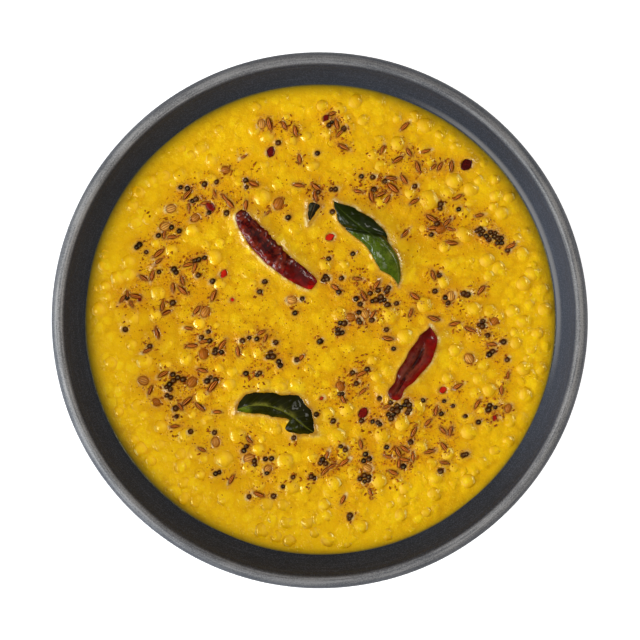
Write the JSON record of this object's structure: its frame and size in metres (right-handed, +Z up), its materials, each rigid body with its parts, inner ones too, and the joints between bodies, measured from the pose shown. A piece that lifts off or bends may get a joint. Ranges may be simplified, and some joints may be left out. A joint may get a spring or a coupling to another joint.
{
  "type": "bowl of dal",
  "caption": "Yellow lentil dal filling a dark stoneware bowl on a foot ring, with fried dried chillies and curry leaves lying in its surface.",
  "frame": {"origin": "on the table, at the middle of the bowl's foot ring", "axes": "+Z up along the bowl's turning axis; +X and +Y lie in the plane of the rim, with the long chilli towards -X +Y"},
  "size_m": [0.1824, 0.1824, 0.056],
  "materials": {
    "stoneware": "satin",
    "dal": "gloss",
    "chilli": "gloss",
    "curry_leaf": "gloss",
    "spice": "satin"
  },
  "bodies": {
    "root": {"bowl": "stoneware", "dal": "dal", "dried_chilli_long": "chilli", "dried_chilli_short": "chilli", "curry_leaf_folded": "curry_leaf", "curry_leaf_crumpled": "curry_leaf", "curry_leaf_scrap": "curry_leaf"}
  },
  "joints": []
}
